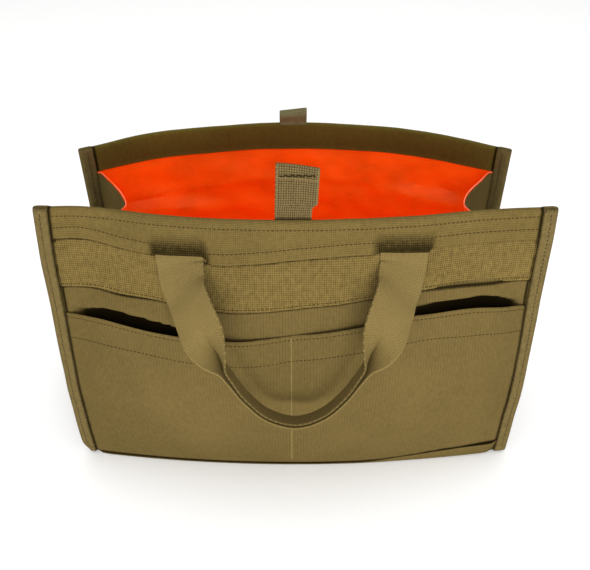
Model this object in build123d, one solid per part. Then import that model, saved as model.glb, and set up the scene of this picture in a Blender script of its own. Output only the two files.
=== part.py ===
from build123d import *
import math
import os

# Open-topped soft tool tote: a canvas bag with a front and a back wall, two inward-folding side gussets,
# a flat base, webbing bands, patch pockets, edge bindings, carry handles, a closure tab and a hang loop.
# Millimetres. +Z up, +X to the bag's right, -Y is the front. The origin is the centre of the base's underside.

# Driving sizes of the bag.
PANEL_WIDTH = 425.0       # length of a wall along its rim, edge bindings included
HEIGHT = 268.0            # base underside to rim
BASE_HALF_DEPTH = 76.0    # base centre to a wall's lower corners
RIM_HALF_DEPTH = 56.0     # bag centre to a wall's upper corners, gussets folded in
GUSSET_FOLD_DEPTH = 60.0  # how far the gusset's crease is pushed in at its top edge

# How far each wall bows outwards at its middle, at the base, at the rim and extra at mid height.
BOW = {
    "front": {"base": 17.0, "rim": 19.0, "belly": 12.0},
    "back": {"base": 17.0, "rim": 54.0, "belly": 4.0},
}
CORNER_BELLY = 8.0        # the corners bow outwards too, where the gussets are less folded
OUTWARD = {"front": -1.0, "back": 1.0}  # sign of Y on each wall's outer side
LEFT_RIGHT = {"left": -1.0, "right": 1.0}

# Heights of the sewn-on pieces.
WALL_BOTTOM = 3.2
FACING_BOTTOM = HEIGHT - 30.0
INNER_FACING_BOTTOM = HEIGHT - 27.0
LINING_TOP = HEIGHT - 1.0
BAND_BOTTOM = HEIGHT - 71.0
POCKET_BOTTOM = 5.0
POCKET_TOP = HEIGHT - 96.0
POCKET_GAPE = 12.0        # how far each pocket half stands open at its lip
GUSSET_TOP = FACING_BOTTOM - 1.0
BELLY_STEPS = 4           # straight-sided height steps that follow the belly
SHORTEST_STEP = 1.0       # a belly step nearer than this to a piece's end is left out

# Layers of a wall, as offsets from the shell's inner face; outwards is positive.
GAP = 0.2
SHELL = (0.0, 1.2)
LINING = (-1.0, -0.2)
INNER_FACING = (-2.2, -1.2)
OUTER_FACING = (1.4, 3.4)
BAND = (1.4, 3.0)
POCKET = (1.4, 2.6)
BINDING_OUTER_LEG = (3.6, 4.6)
BINDING_INNER_LEG = (-5.0, -4.0)
BINDING_WIDTH = 12.7      # a 25 mm tape folded in half
BINDING_THICKNESS = 1.0
SHEET_END = PANEL_WIDTH / 2 - BINDING_THICKNESS - GAP
POCKET_SEWN_END = SHEET_END - BINDING_WIDTH

# Gusset fabric: the lining and the shell lie either side of this offset inside the bindings.
GUSSET_MIDDLE = -2.3
GUSSET_LINING = (0.1, 0.9)
GUSSET_SHELL = (-1.3, -0.1)
GUSSET_FLANGE = 14.0
GUSSET_BOTTOM = 1.8

# Base, from the underside up.
BASE_SHELL_THICKNESS = 1.2
BASE_BOARD_Z = (1.4, 3.4)
BASE_LINING_Z = (3.6, 4.4)
BASE_BOARD_INSET = 12.0   # from the walls
BASE_LINING_INSET = 6.0
BASE_INNER_END = SHEET_END - GUSSET_FLANGE - 4.0

# Carry handles: 38 mm webbing, flat where it is sewn in and folded in half along the grip, its two
# selvedges together on the outer side. Each station of the fold line, for the right-hand half from the
# middle of the grip up to the root, is (x, stand-off from the shell, height, half opening angle).
STRAP_WIDTH = 38.1
STRAP_THICKNESS = 1.6
HANDLE_STATIONS = [
    (0.0, 22.0, 103.0, 5.0),
    (22.0, 22.0, 111.5, 5.0),
    (39.0, 22.0, 131.0, 5.0),
    (50.5, 22.0, 151.0, 8.0),
    (58.5, 23.5, 167.0, 24.0),
    (65.0, 27.5, 182.0, 58.0),
    (71.5, 29.0, 196.0, 84.0),
    (80.0, 23.0, 209.0, 84.0),
    (87.5, 12.5, 220.0, 84.0),
    (91.0, 6.2, 232.0, 84.0),
]
HANDLE_STEPS = 2          # straight spans between stations
GRIP_LIFT = 20.0          # degrees that the folded grip's selvedges point up
FLAT_OPENING = 84.0

# Closure tab on the front rim: 32 mm webbing, its free end folded over and sewn.
TAB_WIDTH = 31.75
TAB_THICKNESS = 1.6
TAB_FREE_LENGTH = 46.0
TAB_FOLD = 11.0
TAB_ROOT_LENGTH = 24.0
TAB_LIFT = 2.2            # gap between the rim's height and the free part
TAB_INSIDE = -3.2         # centre of the tab's thickness, as a wall offset
HOOK_PATCH = (27.0, 1.2, 30.0)
HOOK_PATCH_LIFT = 8.0     # above the free part's lower end
LOOP_PATCH_WIDTH = 38.0
LOOP_PATCH_Z = (HEIGHT - 28.0, HEIGHT - 5.0)
LOOP_PATCH = (3.6, 4.8)

# Hang loop on the back rim: 25 mm webbing standing up as a small arch.
HANG_LOOP_WIDTH = 25.4
HANG_LOOP_HEIGHT = 14.0
HANG_LOOP_SPAN = 9.6
HANG_LOOP_FOOT = 3.2      # both legs together where they are sewn in
HANG_LOOP_THICKNESS = 1.4
HANG_LOOP_CROTCH = 2.8    # height where the two legs part
HANG_LOOP_LIFT = 2.0


def between(low, high, share):
    return low + (high - low) * share


def wall_shape(wall, z):
    """A wall's corner distance and its middle's bulge beyond its corners, straight between belly steps."""
    step = min(int(z / HEIGHT * BELLY_STEPS), BELLY_STEPS - 1)
    low, high = step / BELLY_STEPS, (step + 1) / BELLY_STEPS
    belly = between(4 * low * (1 - low), 4 * high * (1 - high), z / HEIGHT * BELLY_STEPS - step)
    corner = between(BASE_HALF_DEPTH, RIM_HALF_DEPTH, z / HEIGHT) + CORNER_BELLY * belly
    bow = BOW[wall]
    bulge = between(bow["base"], bow["rim"], z / HEIGHT) + bow["belly"] * belly
    return corner, bulge


def wall_arc(wall, z):
    """Radius and centre distance of the wall's shell line in plan at one height, bowing outwards."""
    corner, bulge = wall_shape(wall, z)
    chord = PANEL_WIDTH - 8 * bulge**2 / (3 * PANEL_WIDTH)
    radius = (chord**2 / 4 + bulge**2) / (2 * bulge)
    return radius, corner + bulge - radius


def wall_point(wall, along, out, z):
    """A point of a wall: along its width from the middle, out from the shell's inner face, and up."""
    radius, centre = wall_arc(wall, z)
    angle = along / radius
    x = (radius + out) * math.sin(angle)
    y = centre + (radius + out) * math.cos(angle)
    return Vector(x, OUTWARD[wall] * y, z)


def heights(low, high):
    """The section heights of a wall piece: its two ends and the belly's steps between them."""
    steps = [HEIGHT * i / BELLY_STEPS for i in range(BELLY_STEPS + 1)]
    return [low] + [z for z in steps if low + SHORTEST_STEP < z < high - SHORTEST_STEP] + [high]


def loft_through(wires):
    return Solid.make_loft(wires, ruled=True)


def wall_sheet(wall, layer, low, high, ends=(-SHEET_END, SHEET_END)):
    """One layer of cloth on a wall, following its bow."""
    inner, outer = layer
    start, end = ends
    middle = (start + end) / 2
    wires = []
    for z in heights(low, high):
        def at(along, out):
            return wall_point(wall, along, out, z)
        wires.append(Wire([
            ThreePointArc(at(start, outer), at(middle, outer), at(end, outer)),
            Line(at(end, outer), at(end, inner)),
            ThreePointArc(at(end, inner), at(middle, inner), at(start, inner)),
            Line(at(start, inner), at(start, outer)),
        ]))
    return loft_through(wires)


def pocket(wall):
    """A patch pocket, divided by a centre seam, each half gaping at its lip."""
    inner, outer = POCKET
    wires = []
    for z in heights(POCKET_BOTTOM, POCKET_TOP):
        gape = POCKET_GAPE * (z - POCKET_BOTTOM) / (POCKET_TOP - POCKET_BOTTOM)

        def at(along, out):
            return wall_point(wall, along, out, z)

        def face(out):
            middle = POCKET_SEWN_END / 2
            return [
                Line(at(-SHEET_END, out), at(-POCKET_SEWN_END, out)),
                ThreePointArc(at(-POCKET_SEWN_END, out), at(-middle, out + gape), at(0, out)),
                ThreePointArc(at(0, out), at(middle, out + gape), at(POCKET_SEWN_END, out)),
                Line(at(POCKET_SEWN_END, out), at(SHEET_END, out)),
            ]
        ends = [Line(at(s, outer), at(s, inner)) for s in (-SHEET_END, SHEET_END)]
        wires.append(Wire(face(outer) + face(inner) + ends))
    return loft_through(wires)


def binding(wall, side):
    """The folded tape that wraps a wall's upright edge and the gusset's flange behind it."""
    edge = PANEL_WIDTH / 2
    inside_edge = edge - BINDING_THICKNESS
    start = edge - BINDING_WIDTH
    outline = [
        (start, BINDING_OUTER_LEG[0]), (start, BINDING_OUTER_LEG[1]),
        (edge, BINDING_OUTER_LEG[1]), (edge, BINDING_INNER_LEG[0]),
        (start, BINDING_INNER_LEG[0]), (start, BINDING_INNER_LEG[1]),
        (inside_edge, BINDING_INNER_LEG[1]), (inside_edge, BINDING_OUTER_LEG[0]),
    ]
    wires = []
    for z in heights(WALL_BOTTOM, HEIGHT):
        points = [wall_point(wall, LEFT_RIGHT[side] * along, out, z) for along, out in outline]
        wires.append(Wire.make_polygon(points, close=True))
    return loft_through(wires)


def offset_path(points, distance):
    """An open path in plan, moved to its left by distance, with mitred corners."""
    moved = []
    for i, point in enumerate(points):
        before = points[max(i - 1, 0)]
        after = points[min(i + 1, len(points) - 1)]
        arriving = (point - before).normalized() if i > 0 else (after - point).normalized()
        leaving = (after - point).normalized() if i < len(points) - 1 else arriving
        left_a = Vector(-arriving.Y, arriving.X, 0)
        left_b = Vector(-leaving.Y, leaving.X, 0)
        mitre = (left_a + left_b) * (1 / (1 + left_a.dot(left_b)))
        moved.append(point + mitre * distance)
    return moved


def gusset(side, layer):
    """One layer of a side gusset: a flange inside each binding and a V folded into the bag between them."""
    sign = LEFT_RIGHT[side]
    wires = []
    for z in heights(GUSSET_BOTTOM, GUSSET_TOP):
        front_edge = wall_point("front", SHEET_END, GUSSET_MIDDLE, z)
        front_turn = wall_point("front", SHEET_END - GUSSET_FLANGE, GUSSET_MIDDLE, z)
        back_turn = wall_point("back", SHEET_END - GUSSET_FLANGE, GUSSET_MIDDLE, z)
        back_edge = wall_point("back", SHEET_END, GUSSET_MIDDLE, z)
        unfolded = (front_turn.X + back_turn.X) / 2
        crease = unfolded - (GUSSET_FOLD_DEPTH - GUSSET_FLANGE) * z / GUSSET_TOP
        path = [front_edge, front_turn, Vector(crease, 0, z), back_turn, back_edge]
        outline = offset_path(path, layer[0]) + offset_path(path, layer[1])[::-1]
        outline = [Vector(sign * p.X, p.Y, p.Z) for p in outline]
        wires.append(Wire.make_polygon(outline, close=True))
    return loft_through(wires)


def base_plate(low, high, end, out):
    """A flat layer of the base, bowed at the front and the back like the walls above it."""
    front = [wall_point("front", s, out, 0) for s in (-end, 0, end)]
    back = [wall_point("back", s, out, 0) for s in (end, 0, -end)]
    outline = Wire([
        ThreePointArc(*front),
        Line(front[2], back[0]),
        ThreePointArc(*back),
        Line(back[2], front[0]),
    ])
    return extrude(Face(outline), amount=high - low, dir=(0, 0, 1)).moved(Location((0, 0, low)))


def smooth(stations, steps):
    """Extra stations on a smooth curve through the given ones."""
    finer = []
    for i in range(len(stations) - 1):
        a, b, c, d = (stations[min(max(k, 0), len(stations) - 1)] for k in range(i - 1, i + 3))
        for step in range(steps):
            t = step / steps
            finer.append(tuple(
                0.5 * (2 * q + (r - p) * t + (2 * p - 5 * q + 4 * r - s) * t**2
                       + (3 * q - p - 3 * r + s) * t**3)
                for p, q, r, s in zip(a, b, c, d)
            ))
    return finer + [stations[-1]]


def folded_strap_section(fold, along, out, opening):
    """Outline of webbing folded along its middle: two legs that open by twice the given angle."""
    half = STRAP_THICKNESS / 2
    across = along.cross(out)
    turn = math.radians(opening)
    outline = []
    for side in (1, -1):
        leg = out * math.cos(turn) + across * (side * math.sin(turn))
        normal = across * (side * math.cos(turn)) - out * math.sin(turn)
        tip = fold + leg * (STRAP_WIDTH / 2)
        corners = [tip - normal * half, tip + normal * half, fold + normal * half]
        outline += corners[::side]
    return outline + [fold + out * (half / math.sin(turn))]


def handle(wall):
    """A webbing loop that hangs outside its wall, folded in half along its grip."""
    right = [(abs(x), out, z, min(opening, FLAT_OPENING))
             for x, out, z, opening in smooth(HANDLE_STATIONS, HANDLE_STEPS)]
    left = [(-x, out, z, opening) for x, out, z, opening in right[:0:-1]]
    stations = left + right
    folds = [wall_point(wall, x, out, z) for x, out, z, _ in stations]
    wires = []
    for i, (fold, station) in enumerate(zip(folds, stations)):
        along = (folds[min(i + 1, len(folds) - 1)] - folds[max(i - 1, 0)]).normalized()
        lift = math.radians(GRIP_LIFT * (1 - station[3] / FLAT_OPENING))
        square = wall_point(wall, station[0], station[1] + 1, station[2]) - fold
        out = square * math.cos(lift) + Vector(0, 0, math.sin(lift))
        out = (out - along * along.dot(out)).normalized()
        wires.append(Wire.make_polygon(folded_strap_section(fold, along, out, station[3]), close=True))
    return loft_through(wires)


def upright_box(width, thickness, low, high, y):
    return Pos(0, y, (low + high) / 2) * Box(width, thickness, high - low)


def tab_y():
    return wall_point("front", 0, TAB_INSIDE, HEIGHT).Y


def closure_tab():
    """The tab's free part: single webbing, doubled where its end is folded over towards the front."""
    low = HEIGHT + TAB_LIFT
    high = low + TAB_FREE_LENGTH
    strap = upright_box(TAB_WIDTH, TAB_THICKNESS, low, high, tab_y())
    fold = upright_box(TAB_WIDTH, TAB_THICKNESS, high - TAB_FOLD, high, tab_y() - TAB_THICKNESS)
    return strap + fold


def closure_tab_root():
    """The tab's lower end, sewn down inside the front rim."""
    return upright_box(TAB_WIDTH, TAB_THICKNESS, HEIGHT - TAB_ROOT_LENGTH, HEIGHT, tab_y())


def closure_hook_patch():
    width, thickness, length = HOOK_PATCH
    low = HEIGHT + TAB_LIFT + HOOK_PATCH_LIFT
    y = tab_y() + TAB_THICKNESS / 2 + GAP / 2 + thickness / 2
    return upright_box(width, thickness, low, low + length, y)


def closure_loop_patch():
    ends = (-LOOP_PATCH_WIDTH / 2, LOOP_PATCH_WIDTH / 2)
    return wall_sheet("back", LOOP_PATCH, *LOOP_PATCH_Z, ends)


def hang_loop():
    """A small loop of webbing: its legs rise together out of the back rim and part into an eye."""
    foot = HANG_LOOP_FOOT / 2
    half = HANG_LOOP_SPAN / 2
    inner = half - HANG_LOOP_THICKNESS
    shoulder = HANG_LOOP_HEIGHT - half
    outside = Polyline((-half, shoulder), (-foot, 0), (foot, 0), (half, shoulder))
    crown = ThreePointArc((half, shoulder), (0, HANG_LOOP_HEIGHT), (-half, shoulder))
    eye = Polyline((-inner, shoulder), (0, HANG_LOOP_CROTCH), (inner, shoulder))
    eye_top = HANG_LOOP_HEIGHT - HANG_LOOP_THICKNESS
    eye_crown = ThreePointArc((inner, shoulder), (0, eye_top), (-inner, shoulder))
    side = make_face(outside + crown) - make_face(eye + eye_crown)
    loop = extrude(Plane.YZ * side, amount=HANG_LOOP_WIDTH / 2, both=True)
    return Pos(0, wall_point("back", 0, 0, HEIGHT).Y, HEIGHT + HANG_LOOP_LIFT) * loop


def wall_parts(wall):
    """Every piece that is sewn to one wall and moves with it."""
    parts = {
        f"{wall}_shell": wall_sheet(wall, SHELL, WALL_BOTTOM, HEIGHT),
        f"{wall}_lining": wall_sheet(wall, LINING, WALL_BOTTOM, LINING_TOP),
        f"{wall}_outer_facing": wall_sheet(wall, OUTER_FACING, FACING_BOTTOM, HEIGHT),
        f"{wall}_inner_facing": wall_sheet(wall, INNER_FACING, INNER_FACING_BOTTOM, HEIGHT),
        f"{wall}_webbing_band": wall_sheet(wall, BAND, BAND_BOTTOM, FACING_BOTTOM - GAP),
        f"{wall}_pocket": pocket(wall),
    }
    for side in LEFT_RIGHT:
        parts[f"{wall}_{side}_binding"] = binding(wall, side)
    return parts


def all_parts():
    parts = {
        "base_shell": base_plate(0, BASE_SHELL_THICKNESS, SHEET_END, POCKET[1]),
        "base_board": base_plate(*BASE_BOARD_Z, BASE_INNER_END, -BASE_BOARD_INSET),
        "base_lining": base_plate(*BASE_LINING_Z, BASE_INNER_END, -BASE_LINING_INSET),
    }
    for side in LEFT_RIGHT:
        parts[f"{side}_gusset_shell"] = gusset(side, GUSSET_SHELL)
        parts[f"{side}_gusset_lining"] = gusset(side, GUSSET_LINING)
    for wall in OUTWARD:
        parts.update(wall_parts(wall))
        parts[f"{wall}_handle"] = handle(wall)
    parts["closure_tab_root"] = closure_tab_root()
    parts["closure_tab"] = closure_tab()
    parts["closure_hook_patch"] = closure_hook_patch()
    parts["closure_loop_patch"] = closure_loop_patch()
    parts["hang_loop"] = hang_loop()
    return parts


os.makedirs("parts", exist_ok=True)
for name, shape in all_parts().items():
    export_step(shape, f"parts/{name}.step")
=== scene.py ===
"""Looks of the open-topped soft tote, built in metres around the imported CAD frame.

Every cloth is a thin closed sheet. The sheets of one wall are stacked by their distance from the wall's shell and
share one ripple, so they move in and out together.
"""

import math

import bpy
import numpy as np
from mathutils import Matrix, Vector


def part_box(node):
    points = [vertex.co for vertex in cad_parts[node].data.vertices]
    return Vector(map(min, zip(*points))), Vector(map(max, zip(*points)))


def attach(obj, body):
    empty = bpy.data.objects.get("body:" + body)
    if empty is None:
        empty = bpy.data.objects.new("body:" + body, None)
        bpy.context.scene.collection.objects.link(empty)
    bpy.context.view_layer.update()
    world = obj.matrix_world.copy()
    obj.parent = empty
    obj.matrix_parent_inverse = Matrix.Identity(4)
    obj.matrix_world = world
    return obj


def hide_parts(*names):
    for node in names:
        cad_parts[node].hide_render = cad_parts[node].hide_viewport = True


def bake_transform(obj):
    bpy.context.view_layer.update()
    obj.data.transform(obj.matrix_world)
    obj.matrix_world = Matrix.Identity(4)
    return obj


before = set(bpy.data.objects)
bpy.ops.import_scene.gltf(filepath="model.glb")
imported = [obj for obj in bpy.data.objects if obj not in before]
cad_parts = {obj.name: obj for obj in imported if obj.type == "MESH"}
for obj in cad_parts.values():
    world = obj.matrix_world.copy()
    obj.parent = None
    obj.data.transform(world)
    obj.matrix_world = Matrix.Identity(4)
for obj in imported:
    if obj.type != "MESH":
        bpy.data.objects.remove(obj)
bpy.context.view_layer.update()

# Driving sizes of the bag, which the walls' plan shape follows.
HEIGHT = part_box("front_shell")[1].z
PANEL_WIDTH = 0.425
BASE_HALF_DEPTH = 0.076
RIM_HALF_DEPTH = 0.056
CORNER_BELLY = 0.008
BOW = {
    "front": {"base": 0.017, "rim": 0.019, "belly": 0.012},
    "back": {"base": 0.017, "rim": 0.054, "belly": 0.004},
}
OUTWARD = {"front": -1.0, "back": 1.0}
LEFT_RIGHT = {"left": -1.0, "right": 1.0}
SIDE_BOW = 0.0018          # how far the upright edges bow out sideways at mid height

# Heights and widths of the sewn-on pieces.
WALL_BOTTOM = 0.0019
FACING_HIDDEN = 0.008      # how far the band reaches up under the facing
INNER_FACING_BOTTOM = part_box("back_inner_facing")[0].z
POCKET_BOTTOM = 0.0032
POCKET_HEM = 0.025
POCKET_SEAM_X = -0.003
BINDING_WIDTH = 0.0127
SHEET_END = PANEL_WIDTH / 2 - 0.0012
SEWN_END = SHEET_END - BINDING_WIDTH
GUSSET_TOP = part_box("left_gusset_shell")[1].z
GUSSET_FLANGE = 0.014
GUSSET_FOLD = 0.041        # how far in the gusset's fold lies at its top
GUSSET_ROUND = 0.013       # radius of the gusset's soft inward fold

# Sewn lines that wander, as (distance along a wall, drop below the rim). Both walls use them.
FACING_DROP = [
    (-0.2125, 0.0255), (-0.171, 0.0230), (-0.142, 0.0270), (-0.114, 0.0290), (-0.085, 0.0325), (-0.057, 0.0340),
    (-0.028, 0.0315), (0.0, 0.0285), (0.040, 0.0255), (0.085, 0.0245), (0.142, 0.0240), (0.2125, 0.0250),
]
BAND_DROP = [
    (-0.2125, 0.0690), (-0.171, 0.0665), (-0.142, 0.0685), (-0.114, 0.0690), (-0.085, 0.0720), (-0.057, 0.0750),
    (-0.028, 0.0740), (0.0, 0.0715), (0.028, 0.0685), (0.057, 0.0650), (0.085, 0.0635), (0.142, 0.0620),
    (0.2125, 0.0625),
]

# The pocket's lip as (distance along a wall, drop below the rim), and how far it stands open there.
LIP_DROP = [
    (-0.2125, 0.0950), (-0.180, 0.0950), (-0.155, 0.0965), (-0.136, 0.0985), (-0.112, 0.1010), (-0.090, 0.1025),
    (-0.048, 0.1030), (0.0, 0.0970), (0.050, 0.0905), (0.104, 0.0840), (0.150, 0.0855), (0.180, 0.0870),
    (0.2125, 0.0895),
]
LIP_GAPE = [
    (-0.1998, 0.0), (-0.183, 0.0030), (-0.160, 0.0070), (-0.135, 0.0080), (-0.112, 0.0070), (-0.090, 0.0040),
    (-0.050, 0.0018), (-0.003, 0.0), (0.040, 0.0012), (0.075, 0.0020), (0.105, 0.0042), (0.140, 0.0062),
    (0.168, 0.0070), (0.185, 0.0038), (0.1998, 0.0),
]
GAPE_RISE = 0.75           # a lip that stands open is also pushed up, by this share of its gape
MOUTH_OPEN = 0.0080        # the gape where a mouth is fully open
MOUTH_FOLD = 0.0050        # how far the shell's fold overhangs an open mouth
MOUTH_DENT = 0.0085        # how far the shell sinks behind it
MOUTH_FOLD_RISE = 0.0050   # how far above the lip that fold is

# Layers of a wall, as offsets from the shell's inner face; outwards is positive.
SHELL = (0.0, 0.0012)
LINING = (-0.0011, -0.0003)
INNER_FACING = (-0.0023, -0.0013)
BAND = (0.0014, 0.0025)
POCKET = (0.0014, 0.0025)
GUSSET_MIDDLE = -0.0023
BINDING_LEGS = (0.0042, -0.0046)
BINDING_STEP = 0.0010      # the inner leg lies closer above the gusset
BINDING_THICKNESS = 0.0010

# Webbing.
STRAP_WIDTH = 0.0381
STRAP_THICKNESS = 0.0016
STRAP_FOLD_WIDTH = 0.0036
GRIP_LIFT = 20.0           # degrees by which the folded grip opens upwards
# Half a carry handle, from the middle of its grip to its root: (sideways, off the wall, height, and the angle
# in degrees between its fold's middle plane and each half, which is 90 where the webbing is flat).
HANDLE_STATIONS = [
    (0.0, 0.0220, 0.1030, 4.0), (0.0220, 0.0220, 0.1115, 4.0), (0.0390, 0.0220, 0.1310, 4.0),
    (0.0505, 0.0220, 0.1510, 5.0), (0.0585, 0.0235, 0.1670, 12.0), (0.0650, 0.0275, 0.1820, 48.0),
    (0.0715, 0.0290, 0.1960, 82.0), (0.0800, 0.0230, 0.2090, 90.0), (0.0875, 0.0125, 0.2200, 90.0),
    (0.0910, 0.0052, 0.2320, 90.0), (0.0915, 0.0040, 0.2390, 90.0), (0.0915, 0.0038, 0.2450, 90.0),
]
ROOT_X = {-1: -0.0915, 1: 0.0865}      # the right root is sewn on a little nearer the middle
# The facing's edge over each root, as drops below the rim at the strap's two edges.
ROOT_EDGE_DROP = {-1: (0.0265, 0.0255), 1: (0.0218, 0.0255)}
ROOT_BULGE = 0.0036        # how far the facing stands out over a handle's root
TAB_WIDTH = 0.03175
TAB_X = 0.0006             # its middle is a little to the right
HANG_LOOP_WIDTH = 0.0254

# Sewing thread.
STITCH_PITCH = 0.0035
STITCH_LENGTH = 0.0024
THREAD_RADIUS = 0.00036


# ---------------------------------------------------------------- materials

class Fabric:
    """Builds one fabric's node tree out of short arithmetic on its UV coordinates, which are in metres."""

    def __init__(self, name):
        self.material = bpy.data.materials.new(name)
        self.material.use_nodes = True
        self.nodes = self.material.node_tree.nodes
        self.links = self.material.node_tree.links
        self.shader = self.nodes["Principled BSDF"]
        self.place = self.nodes.new("ShaderNodeTexCoord")
        split = self.nodes.new("ShaderNodeSeparateXYZ")
        self.links.new(self.place.outputs["UV"], split.inputs[0])
        self.u = split.outputs["X"]
        self.v = split.outputs["Y"]

    def math(self, operation, *values):
        """One Math node. A value is a number or another node's output."""
        node = self.nodes.new("ShaderNodeMath")
        node.operation = operation
        for socket, value in zip(node.inputs, values):
            if isinstance(value, (int, float)):
                socket.default_value = value
            else:
                self.links.new(value, socket)
        return node.outputs[0]

    def noise(self, size, detail=3.0, stretch=(1, 1, 1), source="Object"):
        """Noise from 0 to 1 whose features are about size metres across."""
        mapping = self.nodes.new("ShaderNodeMapping")
        mapping.inputs["Scale"].default_value = [s / size for s in stretch]
        self.links.new(self.place.outputs[source], mapping.inputs["Vector"])
        node = self.nodes.new("ShaderNodeTexNoise")
        node.inputs["Scale"].default_value = 1.0
        node.inputs["Detail"].default_value = detail
        self.links.new(mapping.outputs[0], node.inputs["Vector"])
        return node.outputs["Fac"]

    def thread(self, across, pitch):
        """The rounded tops of parallel threads, from 0 between two threads to 1 on a thread."""
        return self.math("ABSOLUTE", self.math("SINE", self.math("MULTIPLY", across, math.pi / pitch)))

    def cell(self, along, pitch):
        """Number of the thread that a point lies on."""
        return self.math("FLOOR", self.math("DIVIDE", along, pitch))

    def over(self, warp, weft, repeat, shift):
        """1 where the warp lies over the weft: half of each repeat, moved by shift threads from row to row."""
        step = self.math("ADD", self.cell(*warp), self.math("MULTIPLY", self.cell(*weft), shift))
        phase = self.math("FLOORED_MODULO", step, repeat)
        return self.math("LESS_THAN", phase, repeat / 2)

    def weave(self, warp_pitch, weft_pitch, repeat=2, shift=1.0):
        """Height of a weave from 0 to 1."""
        warp_top = self.thread(self.u, warp_pitch)
        weft_top = self.thread(self.v, weft_pitch)
        over = self.over((self.u, warp_pitch), (self.v, weft_pitch), repeat, shift)
        warp = self.math("MULTIPLY", warp_top, self.math("MULTIPLY_ADD", weft_top, 0.4, 0.6))
        weft = self.math("MULTIPLY", weft_top, self.math("MULTIPLY_ADD", warp_top, 0.4, 0.6))
        return self.blend(weft, warp, over)

    def blend(self, low, high, share):
        """low where share is 0, high where it is 1."""
        node = self.nodes.new("ShaderNodeMix")
        node.data_type = "FLOAT"
        for socket, value in ((node.inputs["Factor"], share), (node.inputs["A"], low), (node.inputs["B"], high)):
            if isinstance(value, (int, float)):
                socket.default_value = value
            else:
                self.links.new(value, socket)
        return node.outputs["Result"]

    def attribute(self, name):
        node = self.nodes.new("ShaderNodeAttribute")
        node.attribute_name = name
        return node.outputs["Fac"]

    def edge(self, name, width):
        """1 where the named distance is 0, falling to 0 where it is width metres or more."""
        share = self.math("DIVIDE", self.attribute(name), width)
        return self.math("SUBTRACT", 1.0, self.math("MINIMUM", share, 1.0))

    def colour(self, share, stops):
        """Colour by a share from 0 to 1, through stops of (share, linear RGB)."""
        ramp = self.nodes.new("ShaderNodeValToRGB")
        for _ in stops[2:]:
            ramp.color_ramp.elements.new(0.5)
        for element, (place, rgb) in zip(ramp.color_ramp.elements, stops):
            element.position = place
            element.color = (*rgb, 1)
        self.links.new(share, ramp.inputs[0])
        self.links.new(ramp.outputs[0], self.shader.inputs["Base Color"])

    def bump(self, height):
        """Raises the surface by a height in metres."""
        node = self.nodes.new("ShaderNodeBump")
        node.inputs["Strength"].default_value = 1.0
        node.inputs["Distance"].default_value = 1.0
        self.links.new(height, node.inputs["Height"])
        self.links.new(node.outputs[0], self.shader.inputs["Normal"])

    def roughness(self, low, high, share):
        self.links.new(self.blend(low, high, share), self.shader.inputs["Roughness"])

    def glow(self, colour, strength):
        """A little emitted light, which keeps a vivid colour bright in shade."""
        self.shader.inputs["Emission Color"].default_value = (*colour, 1)
        self.shader.inputs["Emission Strength"].default_value = strength

    def finish(self, sheen=0.0, specular=0.0):
        self.shader.inputs["Sheen Weight"].default_value = sheen
        self.shader.inputs["Sheen Roughness"].default_value = 0.45
        self.shader.inputs["Specular IOR Level"].default_value = specular
        return self.material


def shade(colour, factor):
    return tuple(min(1.0, c * factor) for c in colour)


# Painted shade: a fabric's colour is darkened as a shadow line beside each seam, and as shade where its pressed
# falls towards 0.
SEAM_SHADOW_WIDTH = 0.0024        # how far the dark line beside a seam reaches
PAINTED_SHADE_DEPTH = 0.85          # how much darker a seam or a shaded place is, on the scale of a fabric's colour stops


def woven(name, colour, warp, weft, depth, repeat=2, shift=1.0, ribs=0.0, wear=0.05, contrast=0.6, grain=0.5,
          clouds=0.25, **finish):
    """A woven fabric. warp and weft are pitches and depth its relief, in metres; ribs adds slow warp-wise ribbing.

    wear lightens its borders. Shade is painted into its colour: a painted shadow line beside each seam, and painted
    shade where its pressed falls towards 0.
    """
    cloth = Fabric(name)
    weave = cloth.weave(warp, weft, repeat, shift)
    slub = cloth.noise(0.0028, detail=4.0, stretch=(1, 1, 0.6))
    cloudy = cloth.noise(0.060, detail=3.0)
    relief = cloth.math("MULTIPLY_ADD", slub, 0.8, weave)
    # The weave's height also sets the colour: partly the threads' own tone, partly painted shade in the gaps
    # between threads and painted highlight on their tops; the ribs do the same.
    share = cloth.math("MULTIPLY_ADD", weave, contrast, 0.5 - 0.46 * contrast - 0.5 * (grain + clouds))
    if ribs:
        rib = cloth.thread(cloth.u, warp * 2)
        relief = cloth.math("MULTIPLY_ADD", rib, ribs, relief)
        share = cloth.math("MULTIPLY_ADD", cloth.math("SUBTRACT", rib, 0.6), ribs * 0.5, share)
    cloth.bump(cloth.math("MULTIPLY", relief, depth))
    share = cloth.math("MULTIPLY_ADD", slub, grain, share)
    share = cloth.math("MULTIPLY_ADD", cloudy, clouds, share)
    share = cloth.math("MULTIPLY_ADD", cloth.edge("border", 0.0014), wear, share)
    # Painted shade: darker beside each seam, and darker where pressed falls, inside open pocket mouths and just
    # above the handles' roots.
    for shaded in (cloth.edge("seam", SEAM_SHADOW_WIDTH), cloth.edge("pressed", 1.0)):
        share = cloth.math("MULTIPLY_ADD", shaded, -PAINTED_SHADE_DEPTH, share)
    cloth.colour(share, [(0.0, shade(colour, 0.14)), (0.22, shade(colour, 0.60)), (1.0, shade(colour, 1.60))])
    cloth.roughness(0.80, 0.96, slub)
    return cloth.finish(**finish)


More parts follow.
